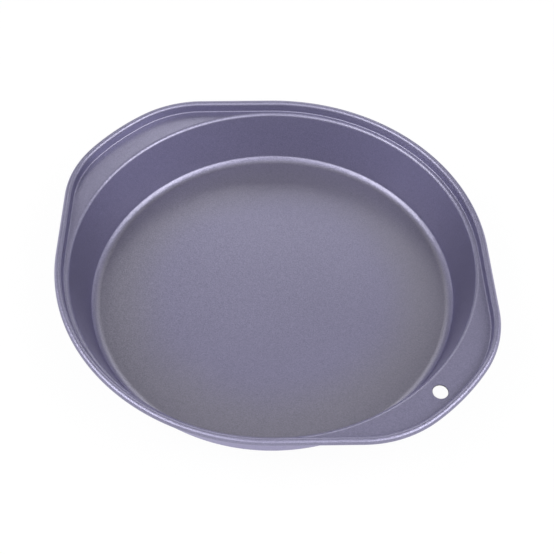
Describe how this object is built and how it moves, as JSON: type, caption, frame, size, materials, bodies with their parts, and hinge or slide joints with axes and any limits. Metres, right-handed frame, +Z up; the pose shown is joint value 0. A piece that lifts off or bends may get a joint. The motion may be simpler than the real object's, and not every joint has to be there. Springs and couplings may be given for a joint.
{
  "type": "round cake tin",
  "caption": "Shallow round baking tin with a flat base, sloping wall, wire-stiffened rolled rim and opposite wing handles, pierced in one handle for hanging.",
  "frame": {"origin": "centre of the base's underside", "axes": "+Z up, out of the open top; +X towards the handle that has the hang hole"},
  "size_m": [0.2704, 0.2416, 0.0389],
  "materials": {
    "nonstick_coated_steel": "satin grey-violet non-stick coating with fine metallic flake",
    "wire_steel": "plain drawn steel wire"
  },
  "bodies": {
    "root": {"tin_body": "nonstick_coated_steel", "rim_wire": "wire_steel"}
  },
  "joints": []
}
